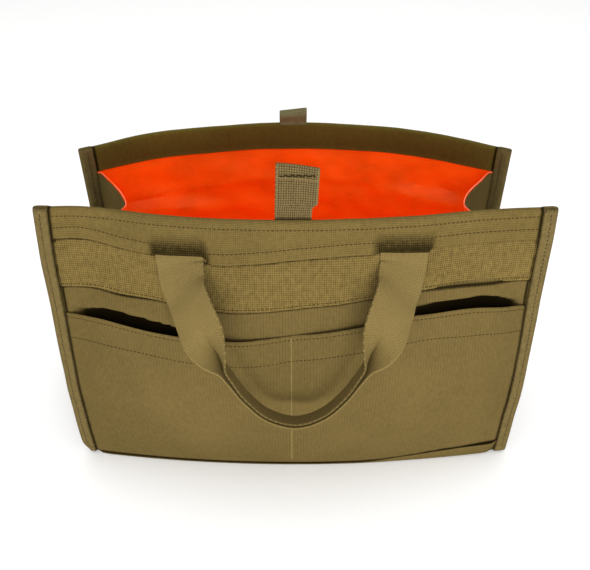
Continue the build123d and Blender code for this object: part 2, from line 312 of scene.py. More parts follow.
COLOURS = {
    "canvas": (0.094, 0.066, 0.022),
    "facing_cloth": (0.100, 0.070, 0.022),
    "coarse_webbing": (0.108, 0.075, 0.023),
    "strap_webbing": (0.092, 0.066, 0.023),
    "tab_webbing": (0.084, 0.060, 0.025),
    "loop_webbing": (0.118, 0.104, 0.050),
    "binding_tape": (0.110, 0.080, 0.030),
    "inner_facing": (0.080, 0.060, 0.012),
    "orange_lining": (0.860, 0.092, 0.001),
    "hook_loop": (0.060, 0.044, 0.018),
    "thread": (0.200, 0.150, 0.055),
    "thread_stitch": (0.040, 0.028, 0.009),
    "thread_dark": (0.024, 0.017, 0.006),
    "thread_orange": (0.900, 0.150, 0.010),
}


def herringbone(name, colour):
    """Binding tape: a twill that turns back in upright stripes, so it reads as a zigzag."""
    cloth = Fabric(name)
    turned = cloth.math("FLOORED_MODULO", cloth.u, 0.0064)
    stripe = cloth.math("ABSOLUTE", cloth.math("SUBTRACT", turned, 0.0032))
    twill = cloth.thread(cloth.math("ADD", stripe, cloth.v), 0.0021)
    fine = cloth.weave(0.0009, 0.0009)
    slub = cloth.noise(0.0028, detail=4.0)
    cloth.bump(cloth.math("MULTIPLY", cloth.math("MULTIPLY_ADD", fine, 0.5, twill), 0.00018))
    share = cloth.math("MULTIPLY_ADD", twill, 0.40, -0.12)
    share = cloth.math("MULTIPLY_ADD", slub, 0.70, share)
    # Painted shade: the tape's colour is darker along its borders, where it meets the cloth it binds.
    share = cloth.math("MULTIPLY_ADD", cloth.edge("border", 0.0012), -0.35, share)
    cloth.colour(share, [(0.0, shade(colour, 0.3)), (0.25, shade(colour, 0.65)), (1.0, shade(colour, 1.6))])
    cloth.roughness(0.78, 0.94, slub)
    return cloth.finish()


# Painted light: the orange lining gives off a little light of its own, though it is no lamp.
LINING_PAINTED_GLOW = 0.16


def nylon(name, colour):
    """Thin coated lining: fine plain weave, faintly glossy, with soft crease relief whose shade and highlights are
    also painted into its colour.
    """
    cloth = Fabric(name)
    weave = cloth.weave(0.0006, 0.0006)
    crease_relief_and_shade = cloth.noise(0.030, detail=5.0, stretch=(1, 1, 1.4))
    cloth.bump(cloth.math("MULTIPLY_ADD", crease_relief_and_shade, 0.0022, cloth.math("MULTIPLY", weave, 0.00004)))
    # Painted shade and highlight: the crease relief also darkens and lightens the colour.
    share = cloth.math("MULTIPLY_ADD", crease_relief_and_shade, 0.9, cloth.math("MULTIPLY", weave, 0.1))
    # Painted shade: a dark shadow line beside a seam.
    share = cloth.math("MULTIPLY_ADD", cloth.edge("seam", SEAM_SHADOW_WIDTH), -0.8, share)
    pale = tuple(min(1.0, c + 0.16) for c in colour)
    share = cloth.math("MULTIPLY_ADD", cloth.edge("border", 0.0016), 0.45, cloth.math("MINIMUM", share, 0.75))
    cloth.colour(share, [(0.0, shade(colour, 0.45)), (0.35, shade(colour, 0.82)), (0.75, shade(colour, 1.14)),
                         (1.0, pale)])
    cloth.roughness(0.45, 0.62, crease_relief_and_shade)
    cloth.glow((1.0, 0.075, 0.0), LINING_PAINTED_GLOW)
    return cloth.finish(specular=0.15)


def loop_pile(name, colour):
    """Hook or loop tape: a dense field of small bristles."""
    cloth = Fabric(name)
    pile = cloth.noise(0.0009, detail=2.0, source="UV")
    rows = cloth.weave(0.0014, 0.0014)
    relief = cloth.math("MULTIPLY_ADD", rows, 0.6, pile)
    cloth.bump(cloth.math("MULTIPLY", relief, 0.0004))
    cloth.colour(cloth.math("MULTIPLY", relief, 0.7), [(0.0, shade(colour, 0.5)), (1.0, shade(colour, 1.5))])
    cloth.roughness(0.85, 0.98, pile)
    return cloth.finish(sheen=0.10)


def spun(name, colour):
    """Sewing thread: two plies twisted together."""
    cloth = Fabric(name)
    twist = cloth.noise(0.0012, detail=1.0)
    cloth.bump(cloth.math("MULTIPLY", twist, 0.00010))
    cloth.colour(twist, [(0.0, shade(colour, 0.7)), (1.0, shade(colour, 1.3))])
    cloth.roughness(0.55, 0.75, twist)
    return cloth.finish()


def board(name):
    """Grey-brown fibre board of the base."""
    cloth = Fabric(name)
    fibres = cloth.noise(0.003, detail=6.0, stretch=(0.4, 1, 1))
    cloth.bump(cloth.math("MULTIPLY", fibres, 0.0002))
    cloth.colour(fibres, [(0.0, (0.022, 0.020, 0.016)), (1.0, (0.060, 0.052, 0.040))])
    cloth.roughness(0.7, 0.9, fibres)
    return cloth.finish(specular=0.1)


def pale_floor(name):
    """Matt white studio paper with a barely visible tooth."""
    paper = Fabric(name)
    tooth = paper.noise(0.004, detail=4.0)
    paper.bump(paper.math("MULTIPLY", tooth, 0.00005))
    paper.colour(tooth, [(0.0, (0.90, 0.90, 0.895)), (1.0, (0.93, 0.93, 0.925))])
    paper.roughness(0.9, 1.0, tooth)
    return paper.finish()


MATERIALS = {
    "canvas": woven("canvas", COLOURS["canvas"], 0.0013, 0.0012, 0.00010, ribs=0.22, contrast=0.28, grain=0.32),
    "facing_cloth": woven("facing_cloth", COLOURS["facing_cloth"], 0.0015, 0.0018, 0.00014, contrast=0.40,
                          grain=0.40),
    "coarse_webbing": woven("coarse_webbing", COLOURS["coarse_webbing"], 0.0018, 0.0019, 0.00028, contrast=0.60,
                            grain=0.80, clouds=0.20),
    "strap_webbing": woven("strap_webbing", COLOURS["strap_webbing"], 0.0015, 0.0017, 0.00024, repeat=3, wear=0.40,
                           contrast=0.85, grain=0.55, clouds=0.10),
    "tab_webbing": woven("tab_webbing", COLOURS["tab_webbing"], 0.0019, 0.0021, 0.00034, wear=0.5, contrast=1.10,
                         grain=0.55, clouds=0.05),
    "loop_webbing": woven("loop_webbing", COLOURS["loop_webbing"], 0.0017, 0.0019, 0.00024, contrast=0.55),
    "binding_tape": herringbone("binding_tape", COLOURS["binding_tape"]),
    "inner_facing": woven("inner_facing", COLOURS["inner_facing"], 0.0010, 0.0010, 0.00007, wear=0.25, contrast=0.2,
                          grain=0.4),
    "orange_lining": nylon("orange_lining", COLOURS["orange_lining"]),
    "hook_loop": loop_pile("hook_loop", COLOURS["hook_loop"]),
    "stiffener": board("stiffener"),
    "thread": spun("thread", COLOURS["thread"]),
    "thread_stitch": spun("thread_stitch", COLOURS["thread_stitch"]),
    "thread_dark": spun("thread_dark", COLOURS["thread_dark"]),
    "thread_orange": spun("thread_orange", COLOURS["thread_orange"]),
}


# ---------------------------------------------------------------- shapes

def curve_through(points, x):
    """A smooth curve through the given (x, value) points, read at x."""
    known = np.array(points)
    x = np.clip(x, known[0, 0], known[-1, 0])
    slopes = np.gradient(known[:, 1], known[:, 0])
    i = np.clip(np.searchsorted(known[:, 0], x) - 1, 0, len(known) - 2)
    width = known[i + 1, 0] - known[i, 0]
    t = (x - known[i, 0]) / width
    low, high = known[i, 1], known[i + 1, 1]
    return ((2 * t**3 - 3 * t**2 + 1) * low + (t**3 - 2 * t**2 + t) * width * slopes[i]
            + (3 * t**2 - 2 * t**3) * high + (t**3 - t**2) * width * slopes[i + 1])


def waves(a, b, seed, size):
    """Smooth irregular height from -1 to 1, made of crossed sine waves about size metres long."""
    total = 0.0
    for k in range(5):
        turn = seed * 1.7 + k * 2.4
        pace = 1 + 0.43 * k
        across = a * math.cos(turn) + b * math.sin(turn)
        total = total + np.sin(across * pace * 2 * math.pi / size + turn * 3.1) / pace
    return total / 2.6


def ease(x, low, high):
    """0 below low, 1 above high and smooth between them."""
    t = np.clip((x - low) / (high - low), 0, 1)
    return t * t * (3 - 2 * t)


def hill(x, centre, width):
    return np.exp(-((x - centre) / width) ** 2)


WALL_SEED = {"front": 1.0, "back": 4.0}


def set_back(along, z):
    """The front wall's slack next to its corners: further in near the rim, and dipping below it on the right."""
    upper = ease(z, 0.09, 0.22)
    left = 0.0052 * hill(along, -0.158, 0.050)
    right = 0.0042 * hill(along, 0.150, 0.050)
    dip = 0.0045 * hill(along, 0.120, 0.065) * hill(z, 0.200, 0.038)
    return upper * (left + right) + dip


def ripple(wall, along, z):
    """How far a whole wall stands out or in from its even bow, in metres."""
    seed = WALL_SEED[wall]
    free = ease(z, 0.0, 0.04)
    broad = 0.0013 * waves(along, z, seed, 0.17)
    small = 0.0004 * waves(along, z * 0.7, seed + 7, 0.062)
    return free * (broad + small) - (set_back(along, z) if wall == "front" else 0)


def rise(wall, along, z):
    """How far a wall's cloth is pulled up or down, mostly along its rim."""
    seed = WALL_SEED[wall]
    near_rim = np.clip(z / HEIGHT, 0, 1) ** 3
    if wall == "front":
        hump = 0.0024 * hill(along, -0.168, 0.030) + 0.0010 * hill(along, 0.150, 0.05)
    else:
        hump = -0.0036 * ease(np.abs(along), 0.120, 0.205)
    return near_rim * (hump + 0.0005 * waves(along, along * 0, seed + 3, 0.21))


def wall_arc(wall, z):
    """Radius and centre distance of a wall's shell line in plan at a height."""
    share = np.clip(z / HEIGHT, 0, 1)
    belly = 4 * share * (1 - share)
    corner = BASE_HALF_DEPTH + (RIM_HALF_DEPTH - BASE_HALF_DEPTH) * share + CORNER_BELLY * belly
    bow = BOW[wall]
    bulge = bow["base"] + (bow["rim"] - bow["base"]) * share + bow["belly"] * belly
    chord = PANEL_WIDTH - 8 * bulge**2 / (3 * PANEL_WIDTH)
    radius = (chord**2 / 4 + bulge**2) / (2 * bulge)
    return radius, corner + bulge - radius


def foot_corner(along, z):
    """How far the left bottom corner is drawn in, so that it is rounded."""
    return 0.0065 * ease(0.020 - z, 0.0, 0.018) ** 2 * ease(-along, SEWN_END, PANEL_WIDTH / 2)


def wall_point(wall, along, out, z):
    """Points of a wall: along its width from the middle, out from the shell's inner face, and up."""
    along = along + foot_corner(along, z)
    along, out, z = np.broadcast_arrays(along, out, z)
    radius, centre = wall_arc(wall, z)
    share = np.clip(z / HEIGHT, 0, 1)
    angle = along * (1 + SIDE_BOW * 8 / PANEL_WIDTH * share * (1 - share)) / radius
    reach = radius + out + ripple(wall, along, z)
    y = OUTWARD[wall] * (centre + reach * np.cos(angle))
    return np.stack([reach * np.sin(angle), y, z + rise(wall, along, z)], -1)


def unit(vectors):
    return vectors / np.maximum(np.linalg.norm(vectors, axis=-1, keepdims=True), 1e-12)


FAR = 0.05                 # a distance that is far from any seam
# What a fabric reads at a point where nothing else is given: the distances to the sheet's border and to a seam in
# metres, and pressed, which runs from 0 where painted shade is darkest to 1 where none is painted.
PLAIN_CLOTH = {"border": FAR, "seam": FAR, "pressed": 1.0}
CRISP_ANGLE = math.radians(38)         # a sheet's faces meet its cut edge more sharply than this


def link_mesh(name, vertices, faces, uvs, material, **readings):
    """A smooth mesh object with one uv pair per vertex, in metres, and one value per vertex for each reading."""
    mesh = bpy.data.meshes.new(name)
    mesh.from_pydata(vertices.tolist(), [], faces)
    layer = mesh.uv_layers.new(name="UVMap")
    corners = np.zeros(len(mesh.loops), np.int32)
    mesh.loops.foreach_get("vertex_index", corners)
    layer.data.foreach_set("uv", uvs[corners].astype(np.float32).ravel())
    for kind, plain in PLAIN_CLOTH.items():
        values = readings.get(kind, np.full(len(vertices), plain))
        mesh.attributes.new(kind, "FLOAT", "POINT").data.foreach_set("value", values.astype(np.float32))
    mesh.polygons.foreach_set("use_smooth", [True] * len(mesh.polygons))
    mesh.materials.append(MATERIALS[material])
    mesh.validate()
    piece = bpy.data.objects.new(name, mesh)
    bpy.context.scene.collection.objects.link(piece)
    return piece


def grid_quads(rows, columns, start, flip):
    """Faces of a rows by columns grid of vertices."""
    index = start + np.arange(rows * columns).reshape(rows, columns)
    quads = np.stack([index[:-1, :-1], index[1:, :-1], index[1:, 1:], index[:-1, 1:]], -1).reshape(-1, 4)
    return quads[:, ::-1].tolist() if flip else quads.tolist()


def border_loop(rows, columns):
    """Row and column of each border vertex of a grid, going once round it."""
    loop = [(0, j) for j in range(columns)]
    loop += [(i, columns - 1) for i in range(1, rows)]
    loop += [(rows - 1, j) for j in range(columns - 2, -1, -1)]
    loop += [(i, 0) for i in range(rows - 2, 0, -1)]
    return np.array(loop).T


def cloth(name, front, back, uv, material, **readings):
    """A closed thin sheet between two grids of points, with a rounded edge all round.

    front and back are (rows, columns, 3) arrays, uv is (rows, columns, 2) in metres, and each of the readings is
    (rows, columns).
    """
    rows, columns = front.shape[:2]
    i, j = border_loop(rows, columns)
    middle = (front + back) / 2
    inward_i = np.clip(i, 1, rows - 2)
    inward_j = np.clip(j, 1, columns - 2)
    outwards = unit(middle[i, j] - middle[inward_i, inward_j])
    half = np.linalg.norm(front[i, j] - back[i, j], axis=-1, keepdims=True) / 2
    rim = middle[i, j] + outwards * half
    count = rows * columns
    vertices = np.concatenate([front.reshape(-1, 3), back.reshape(-1, 3), rim])
    uvs = np.concatenate([uv.reshape(-1, 2), uv.reshape(-1, 2), uv[i, j]])
    du = np.minimum(uv[..., 0] - uv[..., 0].min(), uv[..., 0].max() - uv[..., 0])
    low, high = uv[..., 1].min(1, keepdims=True), uv[..., 1].max(1, keepdims=True)
    readings["border"] = np.minimum(du, np.minimum(uv[..., 1] - low, high - uv[..., 1]))
    ringed = {kind: np.concatenate([d.ravel(), d.ravel(), d[i, j]]) for kind, d in readings.items()}
    sense = np.cross(front[1, 0] - front[0, 0], front[0, 1] - front[0, 0]) @ (front[0, 0] - back[0, 0]) < 0
    faces = grid_quads(rows, columns, 0, sense) + grid_quads(rows, columns, count, not sense)
    edge = i * columns + j
    ring = 2 * count + np.arange(len(edge))
    following = np.roll(np.arange(len(edge)), -1)
    for upper, lower in ((edge, ring), (ring, edge + count)):
        strip = np.stack([upper, lower, lower[following], upper[following]], -1)
        faces += (strip[:, ::-1] if sense else strip).tolist()
    piece = link_mesh(name, vertices, faces, uvs, material, **ringed)
    piece.data.set_sharp_from_angle(angle=CRISP_ANGLE)
    return piece


def thickened(name, middle, thickness, uv, material, **readings):
    """A closed sheet of even thickness around a grid of points."""
    normal = unit(np.cross(np.gradient(middle, axis=0), np.gradient(middle, axis=1)))
    half = normal * thickness / 2
    return cloth(name, middle + half, middle - half, uv, material, **readings)


def wall_grid(low, high, ends, pitch):
    """Grids of along and height on a wall: low and high are heights, or functions of along."""
    start, end = ends
    along = np.linspace(start, end, max(int((end - start) / pitch), 4) + 1)[:, None]
    bottom = low(along) if callable(low) else np.full_like(along, low)
    top = high(along) if callable(high) else np.full_like(along, high)
    steps = max(int(float((top - bottom).max()) / pitch), 4) + 1
    share = np.linspace(0, 1, steps)[None, :]
    z = bottom + (top - bottom) * share
    return np.broadcast_to(along, z.shape), z


def sewn(piece):
    """Hands back a piece of cloth cut to size and sewn to its neighbours, unchanged."""
    return piece


def seam_distance(along, z, seams):
    """Distance to the nearest of the seams that run along a wall, or to a binding's edge."""
    nearest = np.abs(SEWN_END - np.abs(along))
    for seam in seams:
        nearest = np.minimum(nearest, np.abs(z - seam(along)))
    return nearest


def wall_cloth(name, wall, layer, low, high, material, ends=(-SHEET_END, SHEET_END), pitch=0.004, nodes=(),
               seams=(), painted_shade_of=None):
    """One layer of cloth on a wall. layer gives its inner and outer offsets at each point."""
    along, z = wall_grid(low, high, ends, pitch)
    inner, outer = layer(wall, along, z)
    piece = cloth(name, wall_point(wall, along, outer, z), wall_point(wall, along, inner, z),
                  np.stack([along, z], -1), material, seam=seam_distance(along, z, seams),
                  pressed=painted_shade_of(along, z) if painted_shade_of else np.ones(along.shape))
    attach(piece, f"{wall}_wall")
    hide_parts(*nodes)
    return sewn(piece)


# ---------------------------------------------------------------- layers of a wall

def facing_bottom(along):
    """Height of the outer facing's lower edge, which wanders a little."""
    return HEIGHT - curve_through(FACING_DROP, along)


def band_bottom(along):
    return HEIGHT - curve_through(BAND_DROP, along)


def lip_height(along):
    return HEIGHT - curve_through(LIP_DROP, along) + GAPE_RISE * curve_through(LIP_GAPE, along)


def mouth_relief(along, z):
    """The shell's fold above an open pocket, which overhangs the dent behind the lip."""
    open_share = ease(curve_through(LIP_GAPE, along), 0.0010, MOUTH_OPEN)
    above = z - lip_height(along) - MOUTH_FOLD_RISE * open_share
    fold = MOUTH_FOLD * np.exp(-((above - 0.006) / 0.010) ** 2)
    dent = MOUTH_DENT * (1 - ease(above, -0.0015, 0.0030)) * np.exp(-(np.minimum(above, 0) / 0.045) ** 2)
    return open_share * (fold * ease(above, -0.0015, 0.0030) - dent)


def shell_layer(wall, along, z):
    relief = mouth_relief(along, z)
    return SHELL[0] + relief, SHELL[1] + relief


def lining_layer(wall, along, z):
    """The lining hangs behind the shell and puckers away from it between its seams."""
    held = ease(HEIGHT - z, 0.022, 0.060) * ease(SEWN_END - np.abs(along), 0.0, 0.03) * ease(z, 0.0, 0.03)
    slant = z * 0.8 + np.abs(along) * 0.25
    folds = 0.5 + 0.5 * waves(along + slant, z, WALL_SEED[wall] + 5, 0.085)
    pucker = held * (0.0056 * folds + 0.0014 * hill(z, 0.205 + 0.0035 * np.cos(along * 22), 0.004))
    above = z - lip_height(along) - MOUTH_FOLD_RISE
    dent = (MOUTH_DENT + 0.0008) * ease(curve_through(LIP_GAPE, along), 0.0, MOUTH_OPEN * 0.9)
    dent = dent * (1 - ease(above, 0.004, 0.016)) * np.exp(-(np.minimum(above, 0) / 0.050) ** 2)
    return LINING[0] - pucker - dent, LINING[1] - pucker - dent


def root_share(along, side, soft=0.005):
    """1 across a handle's root on one side, falling to 0 just beyond it."""
    return ease(STRAP_WIDTH / 2 + soft - np.abs(along - ROOT_X[side]), 0, soft)


def facing_edge(along):
    """The facing's lower edge, which is pushed up over the two handle roots."""
    edge = facing_bottom(along)
    for side, drops in ROOT_EDGE_DROP.items():
        ends = [ROOT_X[side] - STRAP_WIDTH / 2, ROOT_X[side] + STRAP_WIDTH / 2]
        edge = edge + root_share(along, side) * (HEIGHT - np.interp(along, ends, drops) - edge)
    return edge


def root_lift(along, z):
    """The facing's bulge over the two handle roots."""
    across = sum(root_share(along, side) for side in ROOT_X)
    return ROOT_BULGE * across * (1 - ease(z - facing_edge(along), 0.004, 0.013))


def facing_layer(wall, along, z):
    """Flat on the shell at the rim, over the band at its lower edge, thinner under the bindings."""
    over_band = (1 - ease(z - facing_bottom(along), FACING_HIDDEN, FACING_HIDDEN + 0.004))
    free = ease(SEWN_END - np.abs(along), -0.002, 0.006)
    curl = 0.0004 * (1 - ease(z - facing_bottom(along), 0.0, 0.003))
    inner = 0.0014 + (0.0012 * over_band + curl) * free + root_lift(along, z)
    return inner, inner + 0.0012


def band_layer(wall, along, z):
    thin = 0.0006 * (1 - ease(SEWN_END - np.abs(along), -0.004, 0.004))
    outer = np.full_like(along, BAND[1]) - thin
    return np.full_like(along, BAND[0]), outer


def plain_layer(offsets):
    def layer(wall, along, z):
        return np.full_like(along, offsets[0]), np.full_like(along, offsets[1])
    return layer


def pocket_gape(wall, along, z):
    """How far the pocket stands off the shell."""
    share = np.clip(z / lip_height(along), 0, 1)
    open_lip = curve_through(LIP_GAPE, along) * share**1.5
    seam = 1 - hill(along, POCKET_SEAM_X, 0.012)
    free = ease(SEWN_END - np.abs(along), 0.0, 0.03) * ease(z, 0.0, 0.02) * seam
    sag = 0.0022 * share * (1 - share) * 4
    folds = 0.0017 * (1 + waves(along + z * 0.5, z * 1.2, WALL_SEED[wall] + 11, 0.11)) * share
    smile = 0.0026 * hill(z, 0.112 + 6.0 * (along - 0.004) ** 2, 0.012) * hill(along, 0.004, 0.06)
    return open_lip + free * (sag + folds) + smile * ease(np.abs(along - POCKET_SEAM_X), 0.0, 0.02)


def pocket_layer(wall, along, z):
    gape = pocket_gape(wall, along, z)
    hem = 0.0007 * ease(z - (lip_height(along) - POCKET_HEM), -0.001, 0.001)
    hem = hem * ease(SEWN_END - np.abs(along), -0.002, 0.004)
    return POCKET[0] + gape - hem * 0.3, POCKET[1] + gape + hem * 0.7


def mouth_painted_light(along, z):
    """1 on the open wall, falling to 0 inside an open pocket mouth, where shade is painted into the shell's colour.
    """
    opened = ease(curve_through(LIP_GAPE, along), 0.0008, MOUTH_OPEN * 0.6)
    return 1 - opened * (1 - ease(z - lip_height(along), MOUTH_FOLD_RISE * 0.6, MOUTH_FOLD_RISE * 1.3))


def wall_layers(wall):
    # The shell's colour is painted dark as shade inside the open pocket mouths, and every layer gets a painted
    # shadow line beside its seams.
    wall_cloth(f"{wall}_shell_cloth", wall, shell_layer, WALL_BOTTOM, HEIGHT - 0.0006, "canvas",
               nodes=[f"{wall}_shell"], pitch=0.0022, seams=[lambda along: band_bottom(along) - 0.0004],
               painted_shade_of=mouth_painted_light)
    wall_cloth(f"{wall}_lining_cloth", wall, lining_layer, 0.0064, HEIGHT - 0.0030, "orange_lining",
               nodes=[f"{wall}_lining"], seams=[lambda along: along * 0 + INNER_FACING_BOTTOM])
    wall_cloth(f"{wall}_band_cloth", wall, band_layer, band_bottom,
               lambda along: facing_bottom(along) + FACING_HIDDEN, "coarse_webbing",
               nodes=[f"{wall}_webbing_band"], seams=[lambda along: facing_bottom(along) - 0.0007])
    wall_cloth(f"{wall}_pocket_cloth", wall, pocket_layer, POCKET_BOTTOM, lip_height, "canvas",
               nodes=[f"{wall}_pocket"], pitch=0.003, seams=[lambda along: base_rim(wall, along)])


FACING_FACES = {
    "outer": {"material": "facing_cloth", "turn": (0.0, 0.56), "node": "outer_facing"},
    "inner": {"material": "inner_facing", "turn": (1.0, 0.50), "node": "inner_facing"},
}
RIM_INSIDE = -0.0023       # the inner facing's offset
RIM_TURN = 0.0028          # how high the facings rise round the rim
# Painted shade on the outer facing just above each handle's root: how deep it is, and how far up it reaches.
ROOT_PAINTED_SHADE = 0.72          # how far the pressed share falls on the outer facing at a handle's root
ROOT_PAINTED_SHADE_HEIGHT = 0.018  # how far up the facing that shade reaches


def rim_facing(wall, face):
    """One facing: up its side of the wall and over the rim to the crest, where it meets the other."""
    facts = FACING_FACES[face]
    bottom = facing_edge if face == "outer" else INNER_FACING_BOTTOM
    along, z = wall_grid(bottom, HEIGHT - 0.0032, (-SHEET_END, SHEET_END), 0.0025)
    if face == "outer":
        inner, outer = facing_layer(wall, along, z)
        flat = wall_point(wall, along, (inner + outer) / 2, z)
    else:
        curl = 0.0005 * (1 - ease(z - INNER_FACING_BOTTOM, 0.0, 0.003))
        flat = wall_point(wall, along, RIM_INSIDE - curl, z)
    outside = 0.0020
    centre = (outside + RIM_INSIDE) / 2
    radius = (outside - RIM_INSIDE) / 2
    lift = 0.0002 if face == "outer" else 0.0
    turn = math.pi * np.linspace(*facts["turn"], 8)[None, 1:]
    over = wall_point(wall, along[:, :1], centre + radius * np.cos(turn),
                      HEIGHT - 0.0030 + (RIM_TURN + lift) * np.sin(turn))
    points = np.concatenate([flat, over], 1)
    lengths = np.linalg.norm(np.diff(points, axis=1), axis=-1)
    rising = np.concatenate([np.zeros((len(points), 1)), np.cumsum(lengths, 1)], 1)
    uv = np.stack([np.broadcast_to(along[:, :1], rising.shape), rising], -1)
    # Painted shade: a shadow line beside the bindings, and on the outer facing a patch of shade just above each
    # handle's root.
    seam = np.broadcast_to(np.abs(SEWN_END - np.abs(along[:, :1])), rising.shape)
    pressed = np.ones_like(rising)
    if face == "outer":
        root = sum(root_share(along[:, :1], side, soft=0.009) for side in ROOT_X)
        pressed = 1 - ROOT_PAINTED_SHADE * root * (1 - ease(rising, 0.0, ROOT_PAINTED_SHADE_HEIGHT))
    piece = thickened(f"{wall}_{face}_facing_cloth", points, 0.0011, uv, facts["material"], seam=seam,
                      pressed=pressed)
    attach(piece, f"{wall}_wall")
    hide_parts(f"{wall}_{facts['node']}")
    sewn(piece)


NOSE_SHARE = 0.62          # a binding's rounded nose sticks out by this share of its half thickness


def binding(wall, side):
    """Tape folded round a wall's upright edge: an outer leg, a rounded nose and an inner leg."""
    sign = LEFT_RIGHT[side]
    edge = PANEL_WIDTH / 2
    outer, inner = BINDING_LEGS
    radius = (outer - inner) / 2
    nose = radius * NOSE_SHARE
    flat_end = edge - nose - BINDING_THICKNESS / 2
    start = edge - BINDING_WIDTH
    leg = np.linspace(start, flat_end, 6)
    turn = np.linspace(math.pi / 2, -math.pi / 2, 11)[1:-1]
    along = np.concatenate([leg, flat_end + nose * np.cos(turn), leg[::-1]])
    out = np.concatenate([np.full(6, outer), inner + radius + radius * np.sin(turn), np.full(6, inner)])
    out[0] -= 0.0007
    out[-1] += 0.0007
    closing = np.array([0.0, 0.35, 0.75, 1.0])
    foot = 0.0035 - 0.0014 * np.sin(closing[::-1] * math.pi / 2)
    head = HEIGHT - 0.0016 + 0.0014 * np.sin(closing * math.pi / 2)
    z = np.concatenate([foot, np.linspace(0.006, HEIGHT - 0.003, 66), head])[None, :]
    closed = np.concatenate([closing[::-1], np.zeros(66), closing])[None, :] ** 2
    step = np.hypot(np.diff(along), np.diff(out))
    across = np.concatenate([[0], np.cumsum(step)])[:, None]
    wander = 0.0004 * waves(z, z * 0, WALL_SEED[wall] + sign, 0.07)
    nearer = BINDING_STEP * ease(z, GUSSET_TOP, GUSSET_TOP + 0.004) * (out[:, None] < 0)
    offset = out[:, None] + nearer + wander * 0.5 * np.sign(out[:, None])
    middle = (outer + inner) / 2
    offset = middle + (offset - middle) * (1 - 0.92 * closed)
    points = wall_point(wall, sign * along[:, None], offset, z)
    uv = np.stack(np.broadcast_arrays(across, z), -1)
    piece = thickened(f"{wall}_{side}_binding_tape", points, BINDING_THICKNESS, uv, "binding_tape")
    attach(piece, f"{wall}_wall")
    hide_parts(f"{wall}_{side}_binding")
    sewn(piece)


# ---------------------------------------------------------------- gussets and base

def gusset_path(side, wall, z, steps):
    """Points in plan from the inward fold to the wall's edge, at each height: (steps, heights, 3)."""
    sign = LEFT_RIGHT[side]
    z = z[None, :]
    turn = wall_point(wall, sign * (SHEET_END - GUSSET_FLANGE), GUSSET_MIDDLE, z)
    other = "back" if wall == "front" else "front"
    far_turn = wall_point(other, sign * (SHEET_END - GUSSET_FLANGE), GUSSET_MIDDLE, z)
    unfolded = (np.abs(turn[..., 0]) + np.abs(far_turn[..., 0])) / 2
    depth = GUSSET_FOLD * z / GUSSET_TOP
    share = np.linspace(0, 1, steps)[:, None]
    y = np.abs(turn[..., 1]) * share
    reach = np.abs(turn[..., 1])
    soft = np.sqrt(y**2 + GUSSET_ROUND**2) - GUSSET_ROUND
    full = np.sqrt(reach**2 + GUSSET_ROUND**2) - GUSSET_ROUND
    x = unfolded - depth + (np.abs(turn[..., 0]) - unfolded + depth) * soft / full
    pleat = np.stack([sign * x, OUTWARD[wall] * y, np.broadcast_to(z, x.shape)], -1)
    along = np.linspace(SHEET_END - GUSSET_FLANGE, SHEET_END, 8)[1:, None]
    flange = wall_point(wall, sign * along, GUSSET_MIDDLE, z)
    path = np.concatenate([pleat, flange], 0)
    for _ in range(3):
        path[1:-1] = (path[:-2] + 2 * path[1:-1] + path[2:]) / 4
    return path


GUSSET_LAYERS = {
    "shell": {"offset": -0.0007, "thickness": 0.0011, "material": "canvas", "top": -0.0004},
    "lining": {"offset": 0.0005, "thickness": 0.0008, "material": "orange_lining", "top": 0.0012},
}


def gusset_half(side, wall, layer):
    """Half a gusset layer, from its inward fold to one wall, shaped to that wall's lean."""
    facts = GUSSET_LAYERS[layer]
    z = np.linspace(0.003, GUSSET_TOP + facts["top"], 60)
    path = gusset_path(side, wall, z, 22)
    across = np.gradient(path, axis=0)
    normal = np.stack([across[..., 1], -across[..., 0], np.zeros_like(across[..., 0])], -1)
    inwards = unit(normal) * (LEFT_RIGHT[side] * OUTWARD[wall] * -1)
    share = np.linspace(0, 1, len(path))[:, None]
    free = ease(share, 0.0, 0.25) * (1 - ease(share, 0.55, 0.80)) * ease(z[None, :], 0.0, 0.05)
    pucker = 0.0016 * free * waves(share * 0.09, z[None, :], LEFT_RIGHT[side] * 2 + OUTWARD[wall], 0.09)
    points = path + inwards * (facts["offset"] + pucker)[..., None]
    lengths = np.linalg.norm(np.diff(points, axis=0), axis=-1)
    run = np.concatenate([np.zeros((1, len(z))), np.cumsum(lengths, 0)], 0)
    uv = np.stack([run, np.broadcast_to(z[None, :], run.shape)], -1)
    piece = thickened(f"{side}_gusset_{layer}_{wall}_half", points, facts["thickness"], uv, facts["material"])
    sewn(piece)
    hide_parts(f"{side}_gusset_{layer}")
    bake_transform(piece)


def base_outline(out, end, count=60):
    """The base's outline in plan: the two walls' bows joined by straight sides with rounded corners."""
    along = np.linspace(-end, end, count)
    front = wall_point("front", along, out, 0.0)
    back = wall_point("back", along[::-1], out, 0.0)
    side_steps = np.linspace(0, 1, 22)[1:-1, None]
    right = front[-1] + (back[0] - front[-1]) * side_steps
    left = back[-1] + (front[0] - back[-1]) * side_steps
    loop = np.concatenate([front, right, back, left])[:, :2]
    for _ in range(2):
        loop = (np.roll(loop, 1, 0) + 2 * loop + np.roll(loop, -1, 0)) / 4
    return loop


def base_rim(wall, along, y=None):
    """Height of the base cloth's turned-up edge, which climbs towards one end of the front."""
    front = 0.0020 + 0.0160 * ease(along, 0.055, 0.180)
    if y is None:
        return front if wall == "front" else 0.0050 + along * 0
    return 0.0050 + (front - 0.0050) * ease(-y, -0.030, 0.045)


# Outward run of a climbing rim per metre of climb. The walls' feet run out 0.06 at their ends and 0.23 between.
RIM_SLANT = 0.28


